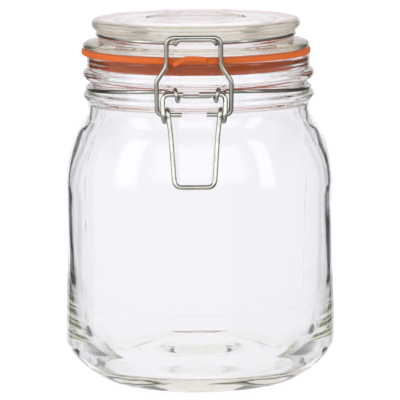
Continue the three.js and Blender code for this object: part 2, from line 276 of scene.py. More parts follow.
def turned_tree():
    """Turns a half-section about the axis, with two mould seams and the unevenness of pressed glass.

    The section's points carry their outward direction and whether they are on the inner side.
    Columns of the grid crowd towards the two seams, so that a seam stays a narrow ridge.
    """
    tree, given = new_geometry_tree("Turned Glass", [
        ("Segments", "NodeSocketInt", 240),
        ("Seam Angle", "NodeSocketFloat", 0.0),
        ("Seam Height", "NodeSocketFloat", 0.0),
        ("Seam Half Width", "NodeSocketFloat", 0.25 * MM),
        ("Unevenness", "NodeSocketFloat", 0.0),
        ("Ripple Length", "NodeSocketFloat", 30 * MM),
        ("Axis", "NodeSocketVector", AXIS),
        ("Material", "NodeSocketMaterial", None),
    ])
    # A flat grid, one unit square, whose rows are the section's points and whose columns go round.
    count = add_node(tree, "GeometryNodeAttributeDomainSize", {"component": "MESH"}, {
        "Geometry": (given, "Geometry"),
    })
    columns = add_node(tree, "ShaderNodeMath", {"operation": "ADD"}, [(given, "Segments"), 1])
    grid = add_node(tree, "GeometryNodeMeshGrid", None, {
        "Size X": 1, "Size Y": 1, "Vertices X": columns, "Vertices Y": (count, "Point Count"),
    })
    position = add_node(tree, "GeometryNodeInputPosition")
    place = add_node(tree, "ShaderNodeSeparateXYZ", None, {"Vector": (position, "Position")})
    across = add_node(tree, "ShaderNodeMath", {"operation": "ADD"}, [(place, "X"), 0.5])
    along = add_node(tree, "ShaderNodeMath", {"operation": "ADD"}, [(place, "Y"), 0.5])
    last = add_node(tree, "ShaderNodeMath", {"operation": "SUBTRACT"}, [(count, "Point Count"), 1])
    exact_row = add_node(tree, "ShaderNodeMath", {"operation": "MULTIPLY"}, [along, last])
    row = add_node(tree, "ShaderNodeMath", {"operation": "ROUND"}, [exact_row])

    def sampled(kind, value):
        """A value of the section's point in this row."""
        return add_node(tree, "GeometryNodeSampleIndex", {"data_type": kind, "domain": "POINT"}, {
            "Geometry": (given, "Geometry"), "Value": value, "Index": row,
        })

    outward = add_node(tree, "GeometryNodeInputNamedAttribute", {"data_type": "FLOAT_VECTOR"}, {
        "Name": "outward",
    })
    inner = add_node(tree, "GeometryNodeInputNamedAttribute", {"data_type": "FLOAT"}, {"Name": "inner"})
    section = add_node(tree, "ShaderNodeSeparateXYZ", None, {
        "Vector": (sampled("FLOAT_VECTOR", (position, "Position")), "Value"),
    })
    facing = add_node(tree, "ShaderNodeSeparateXYZ", None, {
        "Vector": (sampled("FLOAT_VECTOR", (outward, "Attribute")), "Value"),
    })
    inside = (sampled("FLOAT", (inner, "Attribute")), "Value")

    # Each column's angle, drawn in towards the nearer of the two seams.
    quarter = math.pi / 2
    crowding = 1.6
    angle = add_node(tree, "ShaderNodeMath", {"operation": "MULTIPLY"}, [across, 2 * math.pi])
    from_seam = add_node(tree, "ShaderNodeMath", {"operation": "SUBTRACT"}, [angle, (given, "Seam Angle")])
    near = add_node(tree, "ShaderNodeMath", {"operation": "WRAP"}, [from_seam, quarter, -quarter])
    distance = add_node(tree, "ShaderNodeMath", {"operation": "ABSOLUTE"}, [near])
    share = add_node(tree, "ShaderNodeMath", {"operation": "DIVIDE"}, [distance, quarter])
    eased = add_node(tree, "ShaderNodeMath", {"operation": "POWER"}, [share, crowding])
    side = add_node(tree, "ShaderNodeMath", {"operation": "SIGN"}, [near])
    signed = add_node(tree, "ShaderNodeMath", {"operation": "MULTIPLY"}, [side, eased])
    crowded = add_node(tree, "ShaderNodeMath", {"operation": "MULTIPLY"}, [signed, quarter])
    seam_place = add_node(tree, "ShaderNodeMath", {"operation": "SUBTRACT"}, [angle, near])
    final = add_node(tree, "ShaderNodeMath", {"operation": "ADD"}, [seam_place, crowded])
    sine = add_node(tree, "ShaderNodeMath", {"operation": "SINE"}, [final])
    cosine = add_node(tree, "ShaderNodeMath", {"operation": "COSINE"}, [final])
    minus_cosine = add_node(tree, "ShaderNodeMath", {"operation": "MULTIPLY"}, [cosine, -1])

    def turned(radius, height):
        """The point at a radius and a height, turned to the column's angle."""
        x = add_node(tree, "ShaderNodeMath", {"operation": "MULTIPLY"}, [radius, sine])
        y = add_node(tree, "ShaderNodeMath", {"operation": "MULTIPLY"}, [radius, minus_cosine])
        return add_node(tree, "ShaderNodeCombineXYZ", None, [x, y, height])

    # The seams: a ridge on the outside's upright parts, worn away in patches about 7 mm long.
    arc = add_node(tree, "ShaderNodeMath", {"operation": "MULTIPLY"}, [crowded, (section, "X")])
    reach = add_node(tree, "ShaderNodeMath", {"operation": "DIVIDE"}, [arc, (given, "Seam Half Width")])
    squared = add_node(tree, "ShaderNodeMath", {"operation": "POWER"}, [reach, 2])
    negative = add_node(tree, "ShaderNodeMath", {"operation": "MULTIPLY"}, [squared, -1])
    falloff = add_node(tree, "ShaderNodeMath", {"operation": "EXPONENT"}, [negative])
    sideways = add_node(tree, "ShaderNodeMath", {"operation": "MAXIMUM"}, [(facing, "X"), 0])
    upright = add_node(tree, "ShaderNodeMath", {"operation": "POWER"}, [sideways, 6])
    not_inside = add_node(tree, "ShaderNodeMath", {"operation": "SUBTRACT"}, [1, inside])
    outside = add_node(tree, "ShaderNodeMath", {"operation": "MULTIPLY"}, [not_inside, upright])
    spot = turned((section, "X"), (section, "Z"))
    worn = add_node(tree, "ShaderNodeTexNoise", None, {
        "Vector": spot, "Scale": 1 / (7 * MM), "Detail": 1.0,
    })
    left = add_node(tree, "ShaderNodeMapRange", None, {"Value": worn, "From Min": 0.38, "From Max": 0.58})
    ridge = add_node(tree, "ShaderNodeMath", {"operation": "MULTIPLY"}, [falloff, (given, "Seam Height")])
    shown = add_node(tree, "ShaderNodeMath", {"operation": "MULTIPLY"}, [outside, left])
    seam = add_node(tree, "ShaderNodeMath", {"operation": "MULTIPLY"}, [ridge, shown])

    # The unevenness: the inner wall wanders in and out.
    frequency = add_node(tree, "ShaderNodeMath", {"operation": "DIVIDE"}, [1, (given, "Ripple Length")])
    noise = add_node(tree, "ShaderNodeTexNoise", None, {
        "Vector": spot, "Scale": frequency, "Detail": 1.0, "Roughness": 0.4,
    })
    centred = add_node(tree, "ShaderNodeMath", {"operation": "SUBTRACT"}, [noise, 0.5])
    doubled = add_node(tree, "ShaderNodeMath", {"operation": "MULTIPLY"}, [centred, 2])
    wander = add_node(tree, "ShaderNodeMath", {"operation": "MULTIPLY"}, [doubled, (given, "Unevenness")])
    ripple = add_node(tree, "ShaderNodeMath", {"operation": "MULTIPLY"}, [wander, inside])

    offset = add_node(tree, "ShaderNodeMath", {"operation": "ADD"}, [seam, ripple])
    new_radius, new_height = (
        add_node(tree, "ShaderNodeMath", {"operation": "MULTIPLY_ADD"}, [
            (facing, key), offset, (section, key),
        ])
        for key in ("X", "Z")
    )
    point = turned(new_radius, new_height)
    on_axis = add_node(tree, "ShaderNodeVectorMath", {"operation": "ADD"}, [point, (given, "Axis")])
    moved = add_node(tree, "GeometryNodeSetPosition", None, {
        "Geometry": (grid, "Mesh"), "Position": on_axis,
    })
    closed = add_node(tree, "GeometryNodeMergeByDistance", None, {
        "Geometry": (moved, "Geometry"), "Distance": 0.001 * MM,
    })
    finish_geometry_tree(tree, (closed, "Geometry"), given)
    return tree


def wire_tree():
    """Sweeps a round section along a route, after softening the route's bends.

    Each point keeps a coordinate for the drawing marks: the sine and cosine round the wire,
    and the distance along it.
    """
    tree, given = new_geometry_tree("Drawn Wire", [
        ("Diameter", "NodeSocketFloat", 2 * MM),
        ("Sides", "NodeSocketInt", 20),
        ("Spacing", "NodeSocketFloat", 0.5 * MM),
        ("Softening", "NodeSocketInt", 3),
        ("Material", "NodeSocketMaterial", None),
    ])
    route = add_node(tree, "GeometryNodeMeshToCurve", None, {"Mesh": (given, "Geometry")})
    even = add_node(tree, "GeometryNodeResampleCurve", {"mode": "LENGTH"}, {
        "Curve": (route, "Curve"), "Length": (given, "Spacing"),
    })
    position = add_node(tree, "GeometryNodeInputPosition")
    blurred = add_node(tree, "GeometryNodeBlurAttribute", {"data_type": "FLOAT_VECTOR"}, {
        "Value": (position, "Position"), "Iterations": (given, "Softening"), "Weight": 1.0,
    })
    ends = add_node(tree, "GeometryNodeCurveEndpointSelection")
    middle = add_node(tree, "FunctionNodeBooleanMath", {"operation": "NOT"}, [(ends, "Selection")])
    soft = add_node(tree, "GeometryNodeSetPosition", None, {
        "Geometry": (even, "Curve"), "Selection": (middle, "Boolean"), "Position": (blurred, "Value"),
    })
    travelled = add_node(tree, "GeometryNodeSplineParameter")
    along = add_node(tree, "GeometryNodeStoreNamedAttribute", {"data_type": "FLOAT", "domain": "POINT"}, {
        "Geometry": (soft, "Geometry"), "Name": "along", "Value": (travelled, "Length"),
    })
    # A cut end is a little narrower than the rest of the wire.
    cut_end = 0.82
    bevelled = add_node(tree, "GeometryNodeSetCurveRadius", None, {
        "Curve": (along, "Geometry"), "Selection": (ends, "Selection"), "Radius": cut_end,
    })
    radius = add_node(tree, "ShaderNodeMath", {"operation": "DIVIDE"}, [(given, "Diameter"), 2])
    circle = add_node(tree, "GeometryNodeCurvePrimitiveCircle", {"mode": "RADIUS"}, {
        "Resolution": (given, "Sides"), "Radius": radius,
    })
    scaled = add_node(tree, "ShaderNodeVectorMath", {"operation": "NORMALIZE"}, [(position, "Position")])
    stored = {"data_type": "FLOAT_VECTOR", "domain": "POINT"}
    around = add_node(tree, "GeometryNodeStoreNamedAttribute", stored, {
        "Geometry": (circle, "Curve"), "Name": "around", "Value": scaled,
    })
    swept = add_node(tree, "GeometryNodeCurveToMesh", None, {
        "Curve": (bevelled, "Curve"), "Profile Curve": (around, "Geometry"), "Fill Caps": True,
    })
    finish_geometry_tree(tree, (swept, "Mesh"), given)
    return tree


def run_tree(source, tree, values, name):
    """Runs a geometry tree on an object and returns its result as a plain mesh object."""
    modifier = source.modifiers.new(tree.name, "NODES")
    modifier.node_group = tree
    identifiers = {s.name: s.identifier for s in tree.interface.items_tree if s.in_out == "INPUT"}
    for label, value in values.items():
        modifier[identifiers[label]] = value
    bpy.context.view_layer.update()
    graph = bpy.context.evaluated_depsgraph_get()
    evaluated = source.evaluated_get(graph)
    mesh = bpy.data.meshes.new_from_object(evaluated, preserve_all_data_layers=True, depsgraph=graph)
    mesh.name = name
    source.modifiers.clear()
    bpy.data.objects.remove(source)
    if not mesh.polygons:
        raise RuntimeError(f"{name} came out empty")
    return new_object(name, mesh)


def new_object(name, data):
    """An object in the scene, unmoved and unturned."""
    made = bpy.data.objects.new(name, data)
    bpy.context.scene.collection.objects.link(made)
    return made


def face_outwards(mesh):
    """Turns a closed mesh's faces outwards."""
    shape = bmesh.new()
    shape.from_mesh(mesh)
    bmesh.ops.recalc_face_normals(shape, faces=shape.faces)
    shape.to_mesh(mesh)
    shape.free()


# Materials

def new_material(name):
    """A material with an empty node tree, and the tree."""
    made = bpy.data.materials.new(name)
    made.use_nodes = True
    made.node_tree.nodes.clear()
    return made, made.node_tree


def clear_glass(glass):
    """Pressed soda-lime glass: clear, fire-polished, and olive green through its thick parts."""
    made, tree = new_material("pressed_soda_lime_glass")
    place = add_node(tree, "ShaderNodeTexCoord")
    # The polish leaves a slow ripple about 14 mm long on the glass.
    ripple = add_node(tree, "ShaderNodeTexNoise", None, {
        "Vector": (place, "Object"), "Scale": 1 / (14 * MM),
        "Detail": 1.5, "Roughness": 0.4, "Distortion": 0.6,
    })
    bump = add_node(tree, "ShaderNodeBump", None, {
        "Strength": glass.polish_ripple, "Distance": 0.6 * MM, "Height": (ripple, "Fac"),
    })
    # Handling leaves a faint bloom in patches some 25 mm across.
    bloom = add_node(tree, "ShaderNodeTexNoise", None, {
        "Vector": (place, "Object"), "Scale": 1 / (25 * MM), "Detail": 4, "Roughness": 0.6,
    })
    haze = add_node(tree, "ShaderNodeMapRange", None, {
        "Value": (bloom, "Fac"), "From Min": 0.45, "From Max": 0.8, "To Min": 0.0, "To Max": 0.012,
    })
    shader = add_node(tree, "ShaderNodeBsdfPrincipled", None, {
        "Base Color": linear("#FFFFFF"), "Roughness": (haze, "Result"), "IOR": 1.52,
        "Transmission Weight": 1.0, "Normal": (bump, "Normal"),
    })
    tint = add_node(tree, "ShaderNodeVolumeAbsorption", None, {
        "Color": plain(glass.tint), "Density": glass.tint_density,
    })
    add_node(tree, "ShaderNodeOutputMaterial", None, {
        "Surface": (shader, "BSDF"), "Volume": (tint, "Volume"),
    })
    return made


def bright_wire(wire):
    """Bright drawn steel wire: lengthwise drawing marks, and a dull bloom here and there."""
    made, tree = new_material("bright_drawn_steel_wire")
    around = add_node(tree, "ShaderNodeAttribute", {"attribute_name": "around"})
    along = add_node(tree, "ShaderNodeAttribute", {"attribute_name": "along"})
    # Drawing marks are about a tenth of the wire wide and 9 mm long.
    stretched = add_node(tree, "ShaderNodeMath", {"operation": "MULTIPLY"}, [(along, "Fac"), 1 / (9 * MM)])
    width = add_node(tree, "ShaderNodeVectorMath", {"operation": "SCALE"}, {
        "Vector": (around, "Vector"), "Scale": 5.0,
    })
    length = add_node(tree, "ShaderNodeCombineXYZ", None, {"Z": stretched})
    marks_at = add_node(tree, "ShaderNodeVectorMath", {"operation": "ADD"}, [width, length])
    marks = add_node(tree, "ShaderNodeTexNoise", None, {
        "Vector": marks_at, "Scale": 1.0, "Detail": 3.0, "Roughness": 0.6,
    })
    place = add_node(tree, "ShaderNodeTexCoord")
    # Dull patches are 3 mm across.
    dull = add_node(tree, "ShaderNodeTexNoise", None, {
        "Vector": (place, "Object"), "Scale": 1 / (3 * MM), "Detail": 3.0, "Roughness": 0.6,
    })
    patches = add_node(tree, "ShaderNodeMapRange", None, {
        "Value": (dull, "Fac"), "From Min": 0.35, "From Max": 0.75,
        "To Min": wire.roughness, "To Max": wire.roughness + 0.16,
    })
    colour = add_node(tree, "ShaderNodeMix", {"data_type": "RGBA"}, {
        "Factor": (dull, "Fac"), "A": plain(wire.colour), "B": linear("#A7A79C"),
    })
    bump = add_node(tree, "ShaderNodeBump", None, {
        "Strength": 0.25, "Distance": 0.03 * MM, "Height": (marks, "Fac"),
    })
    shader = add_node(tree, "ShaderNodeBsdfPrincipled", None, {
        "Base Color": (colour, "Result"), "Metallic": 1.0, "Roughness": (patches, "Result"),
        "Normal": (bump, "Normal"),
    })
    add_node(tree, "ShaderNodeOutputMaterial", None, {"Surface": (shader, "BSDF")})
    return made


def moulded_rubber(gasket):
    """Moulded natural rubber: soft satin orange, with mould dust and a fine grain."""
    made, tree = new_material("moulded_orange_rubber")
    place = add_node(tree, "ShaderNodeTexCoord")
    # Colour drifts over about 12 mm, and the grain is drawn at 0.5 mm so that it shows.
    drift = add_node(tree, "ShaderNodeTexNoise", None, {
        "Vector": (place, "Object"), "Scale": 1 / (12 * MM), "Detail": 3.0, "Roughness": 0.6,
    })
    grain = add_node(tree, "ShaderNodeTexNoise", None, {
        "Vector": (place, "Object"), "Scale": 1 / (0.5 * MM), "Detail": 2.0, "Roughness": 0.7,
    })
    colour = add_node(tree, "ShaderNodeMix", {"data_type": "RGBA"}, {
        "Factor": (drift, "Fac"), "A": plain(gasket.colour), "B": plain(gasket.shade),
    })
    dusty = add_node(tree, "ShaderNodeMapRange", None, {
        "Value": (grain, "Fac"), "From Min": 0.3, "From Max": 0.8, "To Min": 0.42, "To Max": 0.62,
    })
    bump = add_node(tree, "ShaderNodeBump", None, {
        "Strength": 0.35, "Distance": 0.08 * MM, "Height": (grain, "Fac"),
    })
    shader = add_node(tree, "ShaderNodeBsdfPrincipled", None, {
        "Base Color": (colour, "Result"), "Roughness": (dusty, "Result"), "IOR": 1.52,
        "Specular IOR Level": 0.25, "Normal": (bump, "Normal"),
    })
    add_node(tree, "ShaderNodeOutputMaterial", None, {"Surface": (shader, "BSDF")})
    return made


def matt_paper():
    """Matt white background paper, lit from below as well, with a fine tooth that softens its shade."""
    made, tree = new_material("matt_white_paper")
    place = add_node(tree, "ShaderNodeTexCoord")
    # Paper tooth is about 0.4 mm.
    tooth = add_node(tree, "ShaderNodeTexNoise", None, {
        "Vector": (place, "Object"), "Scale": 1 / (0.4 * MM), "Detail": 2.0,
    })
    colour = add_node(tree, "ShaderNodeMix", {"data_type": "RGBA"}, {
        "Factor": (tooth, "Fac"), "A": linear("#F6F6F7"), "B": linear("#FAFAFB"),
    })
    shader = add_node(tree, "ShaderNodeBsdfPrincipled", None, {
        "Base Color": (colour, "Result"), "Roughness": 0.9, "Specular IOR Level": 0.1,
        "Emission Color": linear("#FFFEFB"), "Emission Strength": 0.3,
    })
    add_node(tree, "ShaderNodeOutputMaterial", None, {"Surface": (shader, "BSDF")})
    return made


def material_named(name, maker, settings):
    """The material of that name, made when it is first asked for."""
    return bpy.data.materials.get(name) or maker(settings)


# Wire routes. A reach is a distance out from the jar's axis, towards the front.

def bent(corners, steps=8):
    """Corners are (x, y, z) or (x, y, z, bend radius). Each with a radius becomes an arc."""
    stations = []
    for i, corner in enumerate(corners):
        here = Vector(corner[:3])
        if len(corner) < 4:
            stations.append(here)
            continue
        back = (Vector(corners[i - 1][:3]) - here).normalized()
        on = (Vector(corners[i + 1][:3]) - here).normalized()
        half = back.angle(on) / 2
        centre = here + (back + on).normalized() * (corner[3] / math.sin(half))
        setback = corner[3] / math.tan(half)
        start, end = here + back * setback - centre, here + on * setback - centre
        sweep = start.angle(end)
        for k in range(steps + 1):
            t = k / steps
            arm = start * math.sin((1 - t) * sweep) + end * math.sin(t * sweep)
            stations.append(centre + arm / math.sin(sweep))
    return stations


def mirrored(stations):
    """The stations on the other side of the middle, in the opposite order."""
    return [Vector((-p.x, p.y, p.z)) for p in reversed(stations)]


def neck_wire_route():
    """One wire round the groove, coiled once at each of the four hinge places."""
    ring_radius, ring_height, ring_rise = 46.95, 123.7, 2.9
    bow_reach, bow_height, bow_half = 48.0, 124.75, 5.2
    coil_x, coil_radius, pitch = 8.25, 2.5, 2.1
    steps = 36

    def coil(side):
        """A coil's stations, in front (1) or behind (-1)."""
        stations = []
        for k in range(steps + 1):
            angle = math.pi - 2 * math.pi * k / steps
            stations.append(Vector((
                coil_x + pitch * (0.5 - k / steps),
                -side * (PIVOT_REACH + coil_radius * math.cos(angle)),
                PIVOT_HEIGHT - 0.3 + coil_radius * math.sin(angle),
            )))
        return stations

    def lead(side):
        """The wire's way from the groove to the coil."""
        return [Vector((coil_x + 3.4, side * -46.2, 126.3)), Vector((coil_x + 1.9, side * -47.1, 125.9))]

    half = [Vector((0, -bow_reach, bow_height)), Vector((bow_half, -bow_reach, bow_height))]
    half += reversed(coil(1))
    half += reversed(lead(1))
    for degrees in range(18, 163, 3):
        angle = math.radians(degrees)
        half.append(Vector((
            ring_radius * math.sin(angle),
            -ring_radius * math.cos(angle),
            ring_height + ring_rise * math.cos(angle) ** 2,
        )))
    half += lead(-1) + coil(-1)
    half.append(Vector((5.6, 47.7, 124.8)))
    return mirrored(half) + half[1:]


def lid_wire_route():
    """One wire from the hinge, up over the flange, round the lid's groove and out to the nose."""
    ring_radius, height, dip = 41.6, 146.4, 0.6
    leg_x, nose_reach, nose_height = 13.0, 50.6, 148.05

    def ring_y(x):
        """How far the ring lies in front of or behind the axis at a distance to the side."""
        return math.sqrt(ring_radius ** 2 - x * x)

    rear = bent([
        (4.6, PIVOT_REACH, PIVOT_HEIGHT),
        (leg_x, PIVOT_REACH, PIVOT_HEIGHT, 2.0),
        (leg_x - 0.6, PIVOT_REACH, height, 2.2),
        (leg_x - 0.9, ring_y(leg_x) + 1.6, height, 1.5),
        (leg_x + 4, ring_y(leg_x + 4), height),
    ])
    ring = []
    for degrees in range(150, 17, -3):
        angle = math.radians(degrees)
        ring.append(Vector((
            ring_radius * math.sin(angle),
            -ring_radius * math.cos(angle),
            height - dip * max(0.0, math.cos(angle)) ** 2,
        )))
    front = bent([
        (12.9, -ring_y(12.9), height - dip),
        (8.5, -ring_y(8.5) - 0.6, height - dip, 1.4),
        (8.2, -nose_reach, 146.15, 1.0),
        (7.4, -nose_reach, nose_height, 0.9),
        (0, -nose_reach, nose_height),
    ])
    half = rear[:-1] + ring + front[1:]
    return half + mirrored(half)[1:]


def bail_route():
    """The bail: two stubs through the lever's coils, legs kinked in, and the bar over the nose."""
    bar_reach, bar_height = 48.6, 148.75
    leg_x, kinked_x = 15.0, 11.05

    def corner(x, z, *radius):
        """A corner in the leaning plane of the bail, with its bend radius."""
        rise = (z - CRANK_HEIGHT) / (bar_height - CRANK_HEIGHT)
        return (x, -(CRANK_REACH + (bar_reach - CRANK_REACH) * rise), z, *radius)

    half = bent([
        corner(5.1, CRANK_HEIGHT),
        corner(leg_x, CRANK_HEIGHT, 1.9),
        corner(leg_x + 0.3, 131, 3.5),
        corner(kinked_x, 137.2, 3.5),
        corner(kinked_x, bar_height, 2.7),
        corner(0, bar_height),
    ])
    return half + mirrored(half)[1:]


def lever_route(handle_reach):
    """The lever: a stub in the neck coil, an arm, a coil round the bail's stub, and the handle."""
    coil_x, coil_radius, pitch = 12.6, 2.7, 2.15
    coil_start, coil_sweep, steps = 0.25, 2 * math.pi + 0.1, 36
    handle_height = 89.05

    def half(inner_end):
        """One side, from the end of its stub in the neck coil to the middle of the handle."""
        stations = bent([
            (inner_end, -PIVOT_REACH, PIVOT_HEIGHT),
            (12.9, -PIVOT_REACH, PIVOT_HEIGHT, 2.1),
            (coil_x, -CRANK_REACH - coil_radius, CRANK_HEIGHT + 1),
        ])[:-1]
        for k in range(steps + 1):
            angle = coil_start - coil_sweep * k / steps
            stations.append(Vector((
                coil_x - pitch * k / steps,
                -CRANK_REACH - coil_radius * math.cos(angle),
                CRANK_HEIGHT - 0.3 + coil_radius * math.sin(angle),
            )))
        return stations + bent([
            (10.3, -52.3, 116),
            (9.5, -54.6, 109.3, 12),
            (8.05, -handle_reach, handle_height, 2.6),
            (0, -handle_reach, handle_height),
        ])

    return half(2.0) + mirrored(half(4.4))[1:]


def shifted(route, dx):
    """Moves a whole route sideways."""
    return [p + Vector((dx, 0, 0)) for p in route]


def front_shifted(route, dx):
    """Moves a route sideways in full where its reach is over 40 mm, and not at all under 20 mm."""
    least, full = 20.0, 40.0
    moved = []
    for p in route:
        share = min(max((-p.y - least) / (full - least), 0), 1)
        moved.append(p + Vector((dx * share, 0, 0)))
    return moved


# Settings

class JARGlassSettings(bpy.types.PropertyGroup):
    """Sizes and tint of the pressed glass."""

    wall: FloatProperty(
        name="Wall", description="Thickness of the jar's side wall",
        default=2.3 * MM, unit="LENGTH")
    floor_height: FloatProperty(
        name="Floor Height", description="Height of the inner floor near the wall",
        default=8.5 * MM, unit="LENGTH")
    seam_height: FloatProperty(
        name="Seam Height", description="How far the two mould seams stand out",
        default=0.09 * MM, unit="LENGTH")
    unevenness: FloatProperty(
        name="Unevenness", description="How far the inner wall wanders",
        default=0.22 * MM, unit="LENGTH")
    polish_ripple: FloatProperty(
        name="Polish Ripple", description="Strength of the slow ripple on the surface",
        default=0.05, subtype="FACTOR", min=0.0, max=1.0)
    segments: IntProperty(
        name="Segments", description="Columns of faces round the axis",
        default=240, min=48, max=300)
    tint: FloatVectorProperty(
        name="Tint", description="Colour that thick glass takes on",
        subtype="COLOR", size=3, min=0.0, max=1.0, default=linear("#D3D5A8")[:3])
    tint_density: FloatProperty(
        name="Tint Density", description="How quickly the tint deepens, for each metre of glass",
        default=5.5)


class JARWireSettings(bpy.types.PropertyGroup):
    """Diameters and finish of the four wires."""

    ring_diameter: FloatProperty(
        name="Neck Wire", description="Diameter of the neck wire",
        default=1.7 * MM, unit="LENGTH")
    lid_diameter: FloatProperty(
        name="Lid Wire", description="Diameter of the lid wire",
        default=1.6 * MM, unit="LENGTH")
    clasp_diameter: FloatProperty(
        name="Clasp Wire", description="Diameter of the bail and the lever",
        default=2.0 * MM, unit="LENGTH")
    clasp_play: FloatProperty(
        name="Clasp Play", description="How far the clasp sits to one side",
        default=-1.9 * MM, unit="LENGTH")
    roughness: FloatProperty(
        name="Roughness", description="Roughness of the bright wire",
        default=0.12, subtype="FACTOR", min=0.0, max=1.0)
    colour: FloatVectorProperty(
        name="Colour", description="Colour of the bright wire",
        subtype="COLOR", size=3, min=0.0, max=1.0, default=linear("#D6D8CC")[:3])


class JARGasketSettings(bpy.types.PropertyGroup):
    """Sizes and colours of the rubber gasket."""

    outer_radius: FloatProperty(
        name="Outer Radius", description="Outer radius of the ring",
        default=48.3 * MM, unit="LENGTH")
    inner_radius: FloatProperty(
        name="Inner Radius", description="Inner radius of the ring",
        default=41.05 * MM, unit="LENGTH")
    tab_reach: FloatProperty(
        name="Tab Reach", description="How far the tab reaches from the axis",
        default=53.1 * MM, unit="LENGTH")
    colour: FloatVectorProperty(
        name="Colour", description="Lit colour of the rubber",
        subtype="COLOR", size=3, min=0.0, max=1.0, default=linear("#D2641C")[:3])
    shade: FloatVectorProperty(
        name="Shade", description="Deeper colour that drifts through the rubber",
        subtype="COLOR", size=3, min=0.0, max=1.0, default=linear("#BC5012")[:3])


class JARStageSettings(bpy.types.PropertyGroup):
    """Camera, floor and studio light."""

    camera_back: FloatProperty(
        name="Camera Back", description="Distance from the jar's axis to the camera, along the floor",
        default=1375.6 * MM, unit="LENGTH")
    camera_height: FloatProperty(
        name="Camera Height", description="Height of the camera above the floor",
        default=274.5 * MM, unit="LENGTH")
    target_height: FloatProperty(
        name="Target Height", description="Height of the point that the camera looks at",
        default=75 * MM, unit="LENGTH")
    lens: FloatProperty(
        name="Lens", description="Focal length in millimetres",
        default=295.0)
    roll: FloatProperty(
        name="Roll", description="How far the camera leans",
        default=math.radians(-0.45), unit="ROTATION")
    floor_radius: FloatProperty(
        name="Floor Radius", description="Radius of the paper that the jar stands on",
        default=3000 * MM, unit="LENGTH")
    glow: FloatProperty(
        name="Glow", description="Brightness of the tent seen through the glass",
        default=0.97)
    fill: FloatProperty(
        name="Fill", description="Brightness of the light on matt things",
        default=1.2)
    backdrop: FloatProperty(
        name="Backdrop", description="Brightness of the tent itself",
        default=1.2)


# Operators

class JAR_OT_glass(bpy.types.Operator):
    """Make the jar and the lid as turned pressed glass"""

    bl_idname = "jar.glass"
    bl_label = "Jar and Lid"

    def execute(self, context):
        glass = context.scene.jar_glass
        tree = turned_tree()
        material = material_named("pressed_soda_lime_glass", clear_glass, glass)
        seam_angle = math.radians(-57.5)
        for name, node, body, section, play, seam, unevenness in (
            ("jar_glass", "jar_body", "jar", jar_outline(glass), 0.0, glass.seam_height, glass.unevenness),
            ("lid_glass_disc", "lid_glass", "lid", lid_outline(), LID_PLAY, 0.0, 0.0),
        ):
            mesh = bpy.data.meshes.new(name + "_section")
            mesh.from_pydata([(r * MM, 0, z * MM) for r, z in section.points], [], [])
            mesh.attributes.new("outward", "FLOAT_VECTOR", "POINT")
            mesh.attributes.new("inner", "FLOAT", "POINT")
            outward, inner = mesh.attributes["outward"], mesh.attributes["inner"]
            for i, (nr, nz) in enumerate(section.normals()):
                outward.data[i].vector = (nr, 0, nz)
                inner.data[i].value = section.inner[i]
            piece = run_tree(new_object(name + "_source", mesh), tree, {
                "Segments": glass.segments,
                "Seam Angle": seam_angle,
                "Seam Height": seam,
                "Unevenness": unevenness,
                "Axis": placed(play, 0, 0),
                "Material": material,
            }, name)
            face_outwards(piece.data)
            piece.visible_shadow = False
            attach(piece, body)
            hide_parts(node)
        return {"FINISHED"}


